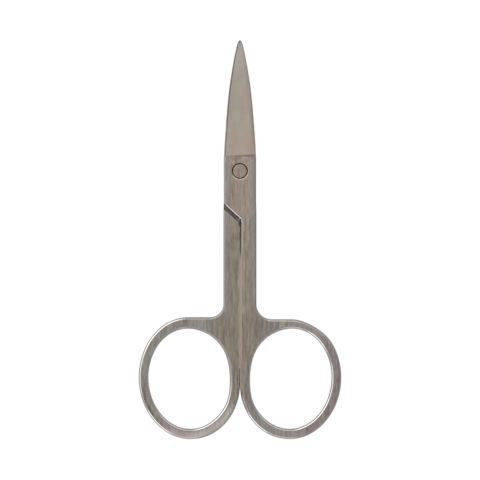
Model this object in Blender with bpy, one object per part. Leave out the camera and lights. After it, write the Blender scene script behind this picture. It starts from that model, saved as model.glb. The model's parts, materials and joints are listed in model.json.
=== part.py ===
# Curved manicure scissors: two halves in a halved joint, held by a slotted pivot screw.
# They lie closed on their back, tips towards +Y, screw head up. Every mesh is measured from the pivot.

import math

import bmesh
import bpy
from mathutils import Matrix, Vector

MM = 0.001

# Layout, measured from the pivot
BLADE_REACH = 29.5 * MM
RING_REACH = 46.86 * MM
STOCK_THICKNESS = 2.5 * MM
JOINT_GAP = 0.1 * MM
SEAM_GAP = 0.1 * MM

# Finger rings
RING_HOLE_WIDTH = 18.3 * MM
RING_HOLE_HEIGHT = 22.8 * MM
RING_BAND = 2.25 * MM
RING_LEAN = math.radians(4.0)
RING_FULLNESS = 0.18 * MM
HOLE_FULLNESS = 0.42 * MM
RING_SIDES = 80

# Shanks, joint plates and the notches below them
SHANK_HALF_WIDTH = 3.73 * MM
JOINT_HALF_WIDTH = 3.65 * MM
JOINT_SWELL = 9.0 * MM
FILLET_RADIUS = 3.0 * MM
FILLET_SIDES = 8
NOTCH_REACH = 7.57 * MM
NOTCH_DROP = 3.15 * MM
NOTCH_WIDTH = 0.82 * MM
NOTCH_CORNER = 0.9 * MM
NOTCH_SIDES = 4
SLIT_RELIEF = 0.12 * MM
SLIT_REACH = 19.6 * MM
RIM_ROUND = 0.5 * MM
RIM_SEGMENTS = 2
SEAM_CHAMFER = 0.2 * MM

# Blades: half width and thickness, and the circle that the blades curve up along
SHOULDER_REACH = 3.36 * MM
BLADE_HALF_WIDTH = 3.58 * MM
EDGE_SETBACK = 0.12 * MM
CURVE_START = 5.2 * MM
CURVE_RADIUS = 58.0 * MM
SHOULDER_STEP = 0.03 * MM
SPINE_TIP_THICKNESS = 0.62 * MM
EDGE_ROOT_THICKNESS = 0.6 * MM
EDGE_TIP_THICKNESS = 0.34 * MM
EDGE_LAND = 0.14 * MM
SPINE_BEVEL = 0.42 * MM
EDGE_BEVEL = 0.26 * MM
HOLLOW_GRIND = 0.03 * MM
ROOT_OVERLAP = 1.2 * MM
BLADE_STATIONS = 34
BLADE_COLUMNS = 4
STATION_CROWDING = 1.35

# Half width of the closed blades: share of the way from the tip to the shoulder, share of the half width
BLADE_OUTLINE_SHARES = (
    (0.0, 0.03),
    (0.018, 0.1),
    (0.04, 0.168),
    (0.08, 0.24),
    (0.15, 0.35),
    (0.28, 0.518),
    (0.42, 0.67),
    (0.6, 0.806),
    (0.82, 0.928),
    (0.94, 0.985),
    (1.0, 1.0),
)
# Bevels near the tip, as shares of the half width there
TIP_BEVEL_SHARE = 0.42

# Pivot screw and its seats
HEAD_RADIUS = 1.475 * MM
HEAD_THICKNESS = 0.62 * MM
HEAD_SINK = 0.02 * MM
HEAD_CHAMFER = 0.12 * MM
HEAD_CLEARANCE = 0.3 * MM
SEAT_CLEARANCE = 0.08 * MM
JOURNAL_RADIUS = 0.95 * MM
RUNNING_CLEARANCE = 0.05 * MM
THREAD_RADIUS = 0.8 * MM
THREAD_CLEARANCE = 0.05 * MM
END_SINK = 0.08 * MM
END_CHAMFER = 0.15 * MM
SLOT_WIDTH = 0.42 * MM
SLOT_DEPTH = 0.28 * MM
SCREW_SIDES = 48

# How far a cutter runs past what it cuts, how near points are merged, and which corners are shaded sharp
OVERRUN = 1.0 * MM
MERGE_DISTANCE = 0.002 * MM
SHARP_ANGLE = math.radians(25.0)

# Finish
SATIN_COLOUR = (0.42, 0.385, 0.355, 1.0)
SCREW_COLOUR = (0.40, 0.355, 0.32, 1.0)
SATIN_ROUGHNESS = 0.36
SCREW_ROUGHNESS = 0.32
STEEL_METALLIC = 1.0

# Worked out from the sizes above
MIDDLE_Z = STOCK_THICKNESS / 2
PLATE_FACE = MIDDLE_Z + JOINT_GAP / 2
PLATE_THICKNESS = STOCK_THICKNESS - PLATE_FACE
RING_HALF_WIDTH = RING_HOLE_WIDTH / 2 + RING_BAND
RING_HALF_HEIGHT = RING_HOLE_HEIGHT / 2 + RING_BAND
SEAM_X = SEAM_GAP / 2


def ring_extent(half_across, half_along):
    """Half the width and half the height that a leaning oval takes up."""
    width = math.hypot(half_across * math.cos(RING_LEAN), half_along * math.sin(RING_LEAN))
    height = math.hypot(half_along * math.cos(RING_LEAN), half_across * math.sin(RING_LEAN))
    return width, height


RING_REACH_X, RING_REACH_Y = ring_extent(RING_HALF_WIDTH, RING_HALF_HEIGHT)
RING_X = SEAM_X + RING_REACH_X
RING_TOP = RING_REACH_Y - RING_REACH
PIVOT_Y = (RING_REACH + RING_REACH_Y - BLADE_REACH) / 2


def steel(name, colour, roughness):
    material = bpy.data.materials.new(name)
    material.use_nodes = True
    shader = material.node_tree.nodes["Principled BSDF"]
    shader.inputs["Base Color"].default_value = colour
    shader.inputs["Metallic"].default_value = STEEL_METALLIC
    shader.inputs["Roughness"].default_value = roughness
    material.diffuse_color = colour
    return material


def add_object(name, mesh_edit, pivot, material=None):
    """Turn a bmesh into an object whose origin is on the pivot."""
    bmesh.ops.recalc_face_normals(mesh_edit, faces=mesh_edit.faces)
    mesh = bpy.data.meshes.new(name)
    mesh_edit.to_mesh(mesh)
    mesh_edit.free()
    piece = bpy.data.objects.new(name, mesh)
    piece.parent = pivot
    bpy.context.scene.collection.objects.link(piece)
    if material:
        mesh.materials.append(material)
    else:
        piece.hide_render = True
        piece.display_type = "WIRE"
    return piece


def combine(piece, tool, operation):
    step = piece.modifiers.new(f"{operation.lower()} {tool.name}", "BOOLEAN")
    step.operation = operation
    step.object = tool
    step.solver = "EXACT"


def finish_mesh(piece):
    """Keep the result of the modifiers as the piece's mesh, tidied and with its corners shaded sharp."""
    evaluated = piece.evaluated_get(bpy.context.evaluated_depsgraph_get())
    mesh = bpy.data.meshes.new_from_object(evaluated)
    tools = [step.object for step in piece.modifiers if step.type == "BOOLEAN"]
    piece.modifiers.clear()
    piece.data = mesh
    for tool in tools:
        bpy.data.objects.remove(tool, do_unlink=True)
    mesh_edit = bmesh.new()
    mesh_edit.from_mesh(mesh)
    bmesh.ops.remove_doubles(mesh_edit, verts=mesh_edit.verts, dist=MERGE_DISTANCE)
    bmesh.ops.dissolve_degenerate(mesh_edit, edges=mesh_edit.edges, dist=MERGE_DISTANCE)
    mesh_edit.to_mesh(mesh)
    mesh_edit.free()
    mesh.shade_smooth()
    mesh.set_sharp_from_angle(angle=SHARP_ANGLE)


def turn_over(mesh_edit):
    """Turn a half's flat parts over, so that they make the other half."""
    middle = Vector((0, 0, MIDDLE_Z))
    half_turn = Matrix.Rotation(math.pi, 4, "Y")
    bmesh.ops.rotate(mesh_edit, cent=middle, matrix=half_turn, verts=mesh_edit.verts)


def prism(points, low, high):
    """A straight block over a closed outline."""
    mesh_edit = bmesh.new()
    corners = [mesh_edit.verts.new((x, y, low)) for x, y in points]
    base = mesh_edit.faces.new(corners)
    raised = bmesh.ops.extrude_face_region(mesh_edit, geom=[base])
    top = [item for item in raised["geom"] if isinstance(item, bmesh.types.BMVert)]
    bmesh.ops.translate(mesh_edit, verts=top, vec=(0, 0, high - low))
    return mesh_edit


def oval_point(half_across, half_along, fullness, angle):
    """A point of the right ring's leaning oval, fuller towards the seam; angle 0 is its outermost point."""
    lean_turn = math.atan2(half_along * math.sin(RING_LEAN), half_across * math.cos(RING_LEAN))
    across = half_across * math.cos(angle + lean_turn)
    along = half_along * math.sin(angle + lean_turn)
    x = across * math.cos(RING_LEAN) + along * math.sin(RING_LEAN)
    y = along * math.cos(RING_LEAN) - across * math.sin(RING_LEAN)
    if math.cos(angle) < 0:
        x -= fullness * math.sin(2 * angle) ** 2
    return RING_X + x, y - RING_REACH


def ring_top_angle():
    """The angle of the outer oval's highest point, counted as oval_point does."""
    lean_turn = math.atan2(RING_HALF_HEIGHT * math.sin(RING_LEAN), RING_HALF_WIDTH * math.cos(RING_LEAN))
    highest = math.atan2(RING_HALF_HEIGHT * math.cos(RING_LEAN), -RING_HALF_WIDTH * math.sin(RING_LEAN))
    return highest - lean_turn


def seam_x(y):
    """The shank's edge along the seam, which is relieved near the joint so that a slit shows."""
    share = (y + SLIT_REACH) / (SLIT_REACH - NOTCH_REACH - NOTCH_DROP)
    return SEAM_X + SLIT_RELIEF * max(share, 0)


def flat_outline():
    """The top half's joint plate, shank and ring from above, with each edge's chamfer."""
    notch_end = -NOTCH_REACH - NOTCH_DROP
    points = [
        (-JOINT_HALF_WIDTH, SHOULDER_REACH, RIM_ROUND),
        (-JOINT_HALF_WIDTH, -NOTCH_REACH, SEAM_CHAMFER),
        (seam_x(notch_end), notch_end, SEAM_CHAMFER),
        (SEAM_X, -SLIT_REACH, SEAM_CHAMFER),
    ]
    sweep = math.pi + ring_top_angle()
    for step in range(RING_SIDES + 1):
        angle = -math.pi + sweep * step / RING_SIDES
        x, y = oval_point(RING_HALF_WIDTH, RING_HALF_HEIGHT, RING_FULLNESS, angle)
        points.append((x, y, RIM_ROUND))
    for step in range(FILLET_SIDES + 1):
        angle = math.pi / 2 * step / FILLET_SIDES
        x = SHANK_HALF_WIDTH + FILLET_RADIUS * (1 - math.sin(angle))
        y = RING_TOP + FILLET_RADIUS * (1 - math.cos(angle))
        points.append((x, y, RIM_ROUND))
    points.append((SHANK_HALF_WIDTH, -JOINT_SWELL, RIM_ROUND))
    points.append((JOINT_HALF_WIDTH, -NOTCH_REACH, RIM_ROUND))
    points.append((JOINT_HALF_WIDTH, SHOULDER_REACH, 0.0))
    return points


def flat_blank():
    """Joint plate, shank and ring at full thickness, with weights for the chamfers along their rims."""
    outline = flat_outline()
    mesh_edit = prism([(x, y) for x, y, _ in outline], 0.0, STOCK_THICKNESS)
    weights = mesh_edit.edges.layers.float.new("bevel_weight_edge")
    for edge in mesh_edit.edges:
        a, b = edge.verts
        if abs(a.co.z - b.co.z) > MERGE_DISTANCE:
            continue
        middle = (a.co + b.co) / 2
        nearest = min(range(len(outline)), key=lambda i: side_distance(outline, i, middle))
        edge[weights] = outline[nearest][2] / RIM_ROUND
    return mesh_edit


def side_distance(outline, index, place):
    """How far a place is from the middle of an outline's side."""
    x0, y0, _ = outline[index]
    x1, y1, _ = outline[(index + 1) % len(outline)]
    return math.hypot((x0 + x1) / 2 - place.x, (y0 + y1) / 2 - place.y)


def lap_cutter():
    """Takes the lower layer off the joint plate, down to the shoulder of the shank."""
    slope = NOTCH_DROP / (JOINT_HALF_WIDTH + seam_x(-NOTCH_REACH - NOTCH_DROP))
    drop = NOTCH_WIDTH * math.hypot(1, slope)
    far_x = SHANK_HALF_WIDTH + OVERRUN

    def shoulder_y(x):
        return -NOTCH_REACH - drop - slope * (JOINT_HALF_WIDTH - x)

    bend_x = seam_x(shoulder_y(SEAM_X))
    bend = Vector((bend_x, shoulder_y(bend_x)))
    start_x = bend_x + NOTCH_CORNER * math.cos(math.atan(slope))
    start = Vector((start_x, shoulder_y(start_x)))
    end_y = bend.y - NOTCH_CORNER
    end = Vector((seam_x(end_y) - SLIT_RELIEF, end_y))
    points = [(far_x, shoulder_y(far_x))]
    for step in range(NOTCH_SIDES + 1):
        share = step / NOTCH_SIDES
        near = start.lerp(bend, share)
        far = bend.lerp(end, share)
        points.append(tuple(near.lerp(far, share)))
    points.append((-far_x, end.y))
    points.append((-far_x, SHOULDER_REACH + OVERRUN))
    points.append((far_x, SHOULDER_REACH + OVERRUN))
    points.reverse()
    return prism(points, -OVERRUN, PLATE_FACE)


def hole_cutter():
    """The finger hole, flared at both faces so that it leaves a rounded rim."""
    mesh_edit = bmesh.new()
    levels = [(-OVERRUN, RIM_ROUND)]
    for step in range(RIM_SEGMENTS + 1):
        angle = math.pi / 2 * step / RIM_SEGMENTS
        levels.append((RIM_ROUND * (1 - math.cos(angle)), RIM_ROUND * (1 - math.sin(angle))))
    upper = [(STOCK_THICKNESS - z, spread) for z, spread in reversed(levels)]
    loops = []
    for z, spread in levels + upper:
        loop = []
        for side in range(RING_SIDES):
            angle = math.tau * side / RING_SIDES
            across = RING_HOLE_WIDTH / 2 + spread
            along = RING_HOLE_HEIGHT / 2 + spread
            x, y = oval_point(across, along, HOLE_FULLNESS, angle)
            loop.append(mesh_edit.verts.new((x, y, z)))
        loops.append(loop)
    for low, high in zip(loops, loops[1:]):
        for side in range(RING_SIDES):
            after = (side + 1) % RING_SIDES
            mesh_edit.faces.new((low[side], low[after], high[after], high[side]))
    mesh_edit.faces.new(list(reversed(loops[0])))
    mesh_edit.faces.new(loops[-1])
    return mesh_edit


def blade_half_width(y):
    """Half the width of the closed blades at a distance from the pivot."""
    share = max((BLADE_REACH - y) / (BLADE_REACH - SHOULDER_REACH), 0)
    table = BLADE_OUTLINE_SHARES
    if share >= 1:
        return BLADE_HALF_WIDTH
    index = max(i for i in range(len(table) - 1) if table[i][0] <= share)
    before = table[max(index - 1, 0)]
    left, right = table[index], table[index + 1]
    after = table[min(index + 2, len(table) - 1)]
    span = right[0] - left[0]
    local = (share - left[0]) / span
    slope_left = (right[1] - before[1]) / (right[0] - before[0])
    slope_right = (after[1] - left[1]) / (after[0] - left[0])
    value = (
        (2 * local**3 - 3 * local**2 + 1) * left[1]
        + (local**3 - 2 * local**2 + local) * span * slope_left
        + (3 * local**2 - 2 * local**3) * right[1]
        + (local**3 - local**2) * span * slope_right
    )
    return BLADE_HALF_WIDTH * value


def blade_rise(x, y):
    """Height of the mating face over the joint: the same all round the pivot, so that the blades pass."""
    along = math.hypot(x, y) - CURVE_START
    if along <= 0:
        return 0.0
    return CURVE_RADIUS - math.sqrt(CURVE_RADIUS**2 - along**2)


def blade_section(y):
    """Points round a blade at one place, as (x, height over the mating face), spine at -X."""
    width = blade_half_width(y)
    share = min(max((y - SHOULDER_REACH) / (BLADE_REACH - SHOULDER_REACH), 0), 1)
    spine = PLATE_THICKNESS - HOLLOW_GRIND - SHOULDER_STEP
    spine += (SPINE_TIP_THICKNESS - spine) * share
    edge = EDGE_ROOT_THICKNESS + (EDGE_TIP_THICKNESS - EDGE_ROOT_THICKNESS) * share
    setback = min(EDGE_SETBACK, width * TIP_BEVEL_SHARE)
    left = -width
    right = width - setback
    spine_bevel = min(SPINE_BEVEL, width * TIP_BEVEL_SHARE)
    edge_bevel = min(EDGE_BEVEL, width * TIP_BEVEL_SHARE)
    land = min(EDGE_LAND, edge / 2)
    points = []
    for column in range(BLADE_COLUMNS + 1):
        points.append((left + (right - left) * column / BLADE_COLUMNS, 0.0))
    points.append((right, land))
    for column in range(BLADE_COLUMNS + 1):
        part = column / BLADE_COLUMNS
        x = (right - edge_bevel) * (1 - part) + (left + spine_bevel) * part
        points.append((x, edge + (spine - edge) * part))
    points.append((left, spine - min(spine_bevel, spine / 2)))
    return points


def blade_stations():
    """Places along a blade from inside the joint plate to the tip, closer together near the tip."""
    root = SHOULDER_REACH - ROOT_OVERLAP
    places = []
    for station in range(BLADE_STATIONS + 1):
        share = 1 - (1 - station / BLADE_STATIONS) ** STATION_CROWDING
        places.append(root + (BLADE_REACH - root) * share)
    return places


def blade_blank(side):
    """A blade; side is 1 for the top half and -1 for the half behind it."""
    mesh_edit = bmesh.new()
    face_z = MIDDLE_Z + side * (JOINT_GAP / 2 + HOLLOW_GRIND)
    loops = []
    for y in blade_stations():
        loop = []
        for x, height in blade_section(y):
            z = face_z + blade_rise(x, y) + side * height
            loop.append(mesh_edit.verts.new((side * x, y, z)))
        loops.append(loop)
    count = len(loops[0])
    for near, far in zip(loops, loops[1:]):
        for i in range(count):
            after = (i + 1) % count
            mesh_edit.faces.new((near[i], near[after], far[after], far[i]))
    mesh_edit.faces.new(list(reversed(loops[0])))
    mesh_edit.faces.new(loops[-1])
    return mesh_edit


def turned(profile, sides):
    """A solid turned about the pivot from points (radius, height)."""
    mesh_edit = bmesh.new()
    verts = [mesh_edit.verts.new((radius, 0, z)) for radius, z in profile]
    edges = [mesh_edit.edges.new(pair) for pair in zip(verts, verts[1:])]
    bmesh.ops.spin(
        mesh_edit, geom=verts + edges, cent=(0, 0, 0), axis=(0, 0, 1), angle=math.tau, steps=sides, use_merge=True
    )
    bmesh.ops.remove_doubles(mesh_edit, verts=mesh_edit.verts, dist=MERGE_DISTANCE)
    return mesh_edit


def add_half(name, side, pivot, material):
    """Join a half from its flat parts and its blade, and cut its ring, lap and bore."""
    flat, lap, hole = flat_blank(), lap_cutter(), hole_cutter()
    if side < 0:
        for mesh_edit in (flat, lap, hole):
            turn_over(mesh_edit)
    half = add_object(name, flat, pivot, material)
    rounding = half.modifiers.new("rounded rims", "BEVEL")
    rounding.limit_method = "WEIGHT"
    rounding.width = RIM_ROUND
    rounding.segments = RIM_SEGMENTS
    rounding.use_clamp_overlap = False
    combine(half, add_object(f"{name}_finger_hole", hole, pivot), "DIFFERENCE")
    combine(half, add_object(f"{name}_lap", lap, pivot), "DIFFERENCE")
    combine(half, add_object(f"{name}_blade", blade_blank(side), pivot), "UNION")
    return half


def bore_cutter(steps):
    """A stepped bore from points (radius, height), closed at both ends."""
    low, high = steps[0][1], steps[-1][1]
    return turned([(0, low), *steps, (0, high)], SCREW_SIDES)


def add_front_half(pivot, material):
    half = add_half("front_half", 1, pivot, material)
    floor = STOCK_THICKNESS - HEAD_SINK - HEAD_THICKNESS - SEAT_CLEARANCE
    bore = JOURNAL_RADIUS + RUNNING_CLEARANCE
    seat = HEAD_RADIUS + HEAD_CLEARANCE
    top = STOCK_THICKNESS + OVERRUN
    steps = [(bore, PLATE_FACE - OVERRUN), (bore, floor), (seat, floor), (seat, top)]
    combine(half, add_object("front_half_bore", bore_cutter(steps), pivot), "DIFFERENCE")
    finish_mesh(half)


def add_rear_half(pivot, material):
    half = add_half("rear_half", -1, pivot, material)
    bore = THREAD_RADIUS + THREAD_CLEARANCE
    steps = [
        (bore + END_CHAMFER + OVERRUN, -OVERRUN),
        (bore + END_CHAMFER, 0),
        (bore, END_CHAMFER),
        (bore, PLATE_FACE + OVERRUN),
    ]
    combine(half, add_object("rear_half_bore", bore_cutter(steps), pivot), "DIFFERENCE")
    finish_mesh(half)


def add_pivot_screw(pivot, material):
    top = STOCK_THICKNESS - HEAD_SINK
    under_head = top - HEAD_THICKNESS
    step = MIDDLE_Z - JOINT_GAP / 2 + SEAT_CLEARANCE
    profile = [
        (0, END_SINK),
        (THREAD_RADIUS - END_CHAMFER, END_SINK),
        (THREAD_RADIUS, END_SINK + END_CHAMFER),
        (THREAD_RADIUS, step),
        (JOURNAL_RADIUS, step),
        (JOURNAL_RADIUS, under_head),
        (HEAD_RADIUS, under_head),
        (HEAD_RADIUS, top - HEAD_CHAMFER),
        (HEAD_RADIUS - HEAD_CHAMFER, top),
        (0, top),
    ]
    screw = add_object("pivot_screw", turned(profile, SCREW_SIDES), pivot, material)
    reach = HEAD_RADIUS + OVERRUN
    half_slot = SLOT_WIDTH / 2
    corners = [(-half_slot, -reach), (half_slot, -reach), (half_slot, reach), (-half_slot, reach)]
    slot = prism(corners, top - SLOT_DEPTH, top + OVERRUN)
    combine(screw, add_object("pivot_screw_slot", slot, pivot), "DIFFERENCE")
    finish_mesh(screw)


def main():
    for old in list(bpy.data.objects):
        bpy.data.objects.remove(old, do_unlink=True)
    pivot = bpy.data.objects.new("pivot", None)
    pivot.location = (0, PIVOT_Y, 0)
    bpy.context.scene.collection.objects.link(pivot)
    satin = steel("satin_steel", SATIN_COLOUR, SATIN_ROUGHNESS)
    bright = steel("screw_steel", SCREW_COLOUR, SCREW_ROUGHNESS)
    add_front_half(pivot, satin)
    add_rear_half(pivot, satin)
    add_pivot_screw(pivot, bright)


main()
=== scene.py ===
import json
import math

import bmesh
import bpy
from bpy.props import FloatProperty, FloatVectorProperty, IntProperty, PointerProperty
from mathutils import Matrix, Vector


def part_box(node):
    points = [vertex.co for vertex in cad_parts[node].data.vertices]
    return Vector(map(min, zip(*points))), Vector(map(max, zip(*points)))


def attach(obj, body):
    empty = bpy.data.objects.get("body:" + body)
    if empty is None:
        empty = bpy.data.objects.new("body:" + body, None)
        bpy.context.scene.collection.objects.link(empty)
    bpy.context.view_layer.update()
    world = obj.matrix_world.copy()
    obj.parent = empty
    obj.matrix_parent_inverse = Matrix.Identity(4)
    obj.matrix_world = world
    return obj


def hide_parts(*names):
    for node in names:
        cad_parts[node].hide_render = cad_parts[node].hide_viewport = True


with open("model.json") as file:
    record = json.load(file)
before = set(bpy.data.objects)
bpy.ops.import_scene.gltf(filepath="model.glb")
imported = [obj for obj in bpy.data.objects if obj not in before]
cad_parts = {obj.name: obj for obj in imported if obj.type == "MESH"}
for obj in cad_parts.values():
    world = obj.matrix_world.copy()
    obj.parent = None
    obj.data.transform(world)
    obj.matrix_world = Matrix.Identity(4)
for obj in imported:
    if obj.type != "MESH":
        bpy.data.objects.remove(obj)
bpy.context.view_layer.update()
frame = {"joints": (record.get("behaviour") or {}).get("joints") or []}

bl_info = {
    "name": "Curved Manicure Scissors",
    "version": (1, 0, 0),
    "blender": (4, 5, 0),
    "location": "3D View > Sidebar > Scissors",
    "description": "Ground and polished steel scissors around their packed frame, on a pale studio floor",
    "category": "Object",
}

MM = 0.001
PIVOT = Vector(frame["joints"][0]["pos_m"])
HEAD_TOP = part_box("pivot_screw")[1].z
SCREW_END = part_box("pivot_screw")[0].z
TIP_SETBACK = 0.2 * MM
BLADE_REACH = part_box("front_half")[1].y - PIVOT.y - TIP_SETBACK
RING_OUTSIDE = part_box("front_half")[1].x
RING_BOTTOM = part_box("front_half")[0].y - PIVOT.y

# Half width of the closed blades: share of the way from the tip to the shoulder, share of the half width
BLADE_OUTLINE_SHARES = (
    (0.0, 0.035),
    (0.0104, 0.1),
    (0.0326, 0.168),
    (0.0729, 0.24),
    (0.1434, 0.35),
    (0.2744, 0.518),
    (0.4155, 0.67),
    (0.5969, 0.806),
    (0.8186, 0.928),
    (0.9395, 0.985),
    (1.0, 1.0),
)

OVERRUN = 1.0 * MM
MERGE_DISTANCE = 0.0005 * MM
LEVEL_ANGLE = math.radians(0.1)
SHARP_ANGLE = math.radians(16.0)
STATION_CROWDING = 1.35
SEAM_LAP = 0.01 * MM
SLIT_CLOSING = 1.6 * MM
GROOVE_LENGTH = 4.4 * MM
LEDGE_LOW_SHARE = 0.24
LEDGE_SETBACK = 0.14 * MM
LEDGE_LENGTH = 1.6 * MM

# The part of the front ring's turn over which it is flatter, counted as oval_point does
FLAT_START = math.radians(30.0)
FLAT_SPAN = math.radians(65.0)


def number(name, description, value, **options):
    return FloatProperty(name=name, description=description, default=value, **options)


def length(name, description, millimetres):
    return number(name, description, millimetres * MM, min=0.0, precision=5, unit="LENGTH")


def offset(name, description, millimetres):
    return number(name, description, millimetres * MM, precision=5, unit="LENGTH")


def share(name, description, value):
    return number(name, description, value, min=0.0, max=1.0, subtype="FACTOR")


def angle(name, description, degrees):
    return number(name, description, math.radians(degrees), subtype="ANGLE")


def count(name, description, value):
    return IntProperty(name=name, description=description, default=value, min=1)


def colour(name, description, value):
    return FloatVectorProperty(
        name=name, description=description, default=value, size=3, min=0.0, max=1.0, subtype="COLOR"
    )


class RingSizes(bpy.types.PropertyGroup):
    hole_width: length("Hole width", "Across the finger hole", 18.3)
    hole_height: length("Hole height", "Along the finger hole", 22.58)
    band: length("Band", "Width of the ring's band at its sides", 2.25)
    end_band: length("End band", "Width of the ring's band at its top and bottom", 2.36)
    lean: angle("Lean", "How far the oval's top leans out", 4.0)
    fullness: length("Fullness", "How much fuller the ring is towards the seam", 0.26)
    hole_fullness: length("Hole fullness", "How much fuller the hole's top is towards the seam", 0.42)
    low_fullness: length("Low fullness", "How much fuller the hole's bottom is towards the seam", 0.5)
    front_crown: offset("Front crown", "How far the front ring's top rises over an even oval", -0.16)
    rear_crown: offset("Rear crown", "How far the rear ring's top rises over an even oval", 0.25)
    front_flat: length("Front flat", "How far the front ring is flatter at its upper outer side", 0.35)
    rim_round: length("Rim rounding", "Radius of the rings' rims", 0.62)
    sides: count("Sides", "Straight sides round the oval", 224)


class ShankSizes(bpy.types.PropertyGroup):
    thickness: length("Stock thickness", "Thickness of the shanks and rings", 2.5)
    half_width: length("Shank half width", "Seam to the outer side of a shank", 3.73)
    joint_half_width: length("Joint half width", "Half the width of the joint plates", 3.65)
    joint_gap: length("Joint gap", "Between the two joint plates", 0.05)
    seam_gap: length("Seam gap", "Between the two closed shanks", 0.006)
    swell: length("Swell", "Below the pivot, where the shank reaches its full width", 9.0)
    rear_fillet: length("Rear fillet", "Radius where the rear shank runs into its ring", 3.0)
    front_fillet: length("Front fillet", "Radius where the front shank runs into its ring", 3.35)
    fillet_sides: count("Fillet sides", "Straight sides of the fillet", 18)
    rim_round: length("Rim rounding", "Radius of the shanks' rims", 0.42)
    rim_segments: count("Rim segments", "Steps of the rim rounding", 7)
    seam_round: length("Seam rounding", "Radius of the plain corners along the seam", 0.02)
    notch_chamfer: length("Notch chamfer", "Width of the chamfer along the notch", 0.17)
    seam_chamfer: length("Seam chamfer", "Width of the chamfer along the seam", 0.5)
    seam_slope: angle("Seam slope", "Slope of the chamfer along the seam", 17.0)
    seam_fade: count("Seam fade", "Sides of the ring over which the seam's corner grows to the rim's", 14)
    notch_reach: length("Notch reach", "Pivot to the notch's outer end", 7.3)
    notch_drop: length("Notch drop", "How far the notch runs down towards the seam", 3.54)
    notch_width: length("Notch width", "Across the notch", 0.96)
    notch_corner: length("Notch corner", "Rounding of the lower shoulder at the seam", 0.9)
    notch_lip: length("Notch lip", "Width of the lower shoulder's chamfer", 0.22)
    lip_slope: angle("Lip slope", "Slope of the lower shoulder's chamfer", 24.0)
    notch_ledge: length("Notch ledge", "Width of the ledge that closes the notch's inner end", 0.9)
    chamfer_slope: angle("Chamfer slope", "Slope of the small chamfers", 30.0)
    slit_reach: length("Slit reach", "Pivot to the slit's lower end", 19.6)
    slit_width: length("Slit width", "Width of the slit at the notch", 0.27)
    slit_low_width: length("Slit low width", "Width of the slit where it starts to close", 0.2)
    groove_reach: length("Groove reach", "Pivot to the groove between the rings' roots", 44.2)
    groove_width: length("Groove width", "Width of the groove between the rings' roots", 0.04)


class BladeSizes(bpy.types.PropertyGroup):
    shoulder: length("Shoulder", "Pivot to the blade's shoulder", 3.44)
    shoulder_round: length("Shoulder rounding", "Radius of the joint plate's corner at the blade", 0.2)
    half_width: length("Half width", "Half the closed blades' width at the shoulder", 3.61)
    edge_setback: length("Edge setback", "How far the cutting edge lies inside the other blade's spine", 0.2)
    curve_start: length("Curve start", "Distance from the pivot where the blades start to rise", 5.2)
    curve_radius: length("Curve radius", "Radius of the circle that the blades rise along", 58.0)
    root_step: length("Root step", "How far the spine lies below the joint plate", 0.03)
    spine_tip: length("Spine at tip", "Thickness of the spine at the tip", 0.62)
    edge_root: length("Edge at root", "Thickness behind the cutting edge at the shoulder", 0.6)
    edge_tip: length("Edge at tip", "Thickness behind the cutting edge at the tip", 0.34)
    root_strip: length("Root strip", "Width of the shallow strip outside the spine's bevel", 0.34)
    root_slope: angle("Root strip slope", "Slope of the strip near the shoulder", 20.0)
    root_reach: length("Root strip reach", "Pivot to the end of the strip", 10.6)
    root_fade: length("Root strip fade", "Length over which the strip grows", 1.6)
    spine_bevel: length("Spine bevel", "Width of the bevel along the spine", 0.2)
    root_bevel: length("Root bevel", "Width of the bevel along the strip", 0.16)
    strip_share: share("Strip share", "Share of the strip's width that runs on to the tip", 0.5)
    edge_bevel: length("Edge bevel", "Width of the bevel along the cutting edge", 0.26)
    bevel_slope: angle("Bevel slope", "Slope of the bevel along the spine", 42.0)
    edge_slope: angle("Edge slope", "Slope of the bevel along the cutting edge", 20.0)
    hollow: length("Hollow", "Relief of the mating faces", 0.02)
    root_overlap: length("Root overlap", "How far the blade runs into the joint plate", 1.2)
    tip_bevel: share("Tip bevel", "Most that a bevel may take of the half width", 0.28)
    stations: count("Stations", "Sections along the blade", 90)
    columns: count("Columns", "Steps across the blade", 6)


class ScrewSizes(bpy.types.PropertyGroup):
    head_radius: length("Head radius", "Radius of the screw head", 1.5)
    head_thickness: length("Head thickness", "Thickness of the screw head", 0.62)
    head_chamfer: length("Head chamfer", "Chamfer of the screw head", 0.13)
    head_clearance: length("Head clearance", "Open ring round the screw head", 0.3)
    seat_clearance: length("Seat clearance", "Under the screw head", 0.08)
    seat_chamfer: length("Seat chamfer", "Chamfer round the head's seat", 0.17)
    seat_slope: angle("Seat slope", "Slope of the chamfer round the head's seat", 22.0)
    journal_radius: length("Journal radius", "Radius that the upper half turns on", 0.95)
    running_clearance: length("Running clearance", "Round the journal", 0.05)
    thread_radius: length("Thread radius", "Radius of the end fixed in the lower half", 0.8)
    thread_clearance: length("Thread clearance", "Round the fixed end", 0.03)
    end_chamfer: length("End chamfer", "Chamfer of the screw's end", 0.15)
    slot_width: length("Slot width", "Width of the driver slot", 0.4)
    slot_depth: length("Slot depth", "Depth of the driver slot", 0.05)
    slot_shift: offset("Slot shift", "How far the driver slot lies off the axis", -0.14)
    sides: count("Sides", "Straight sides round the screw", 96)


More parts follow.
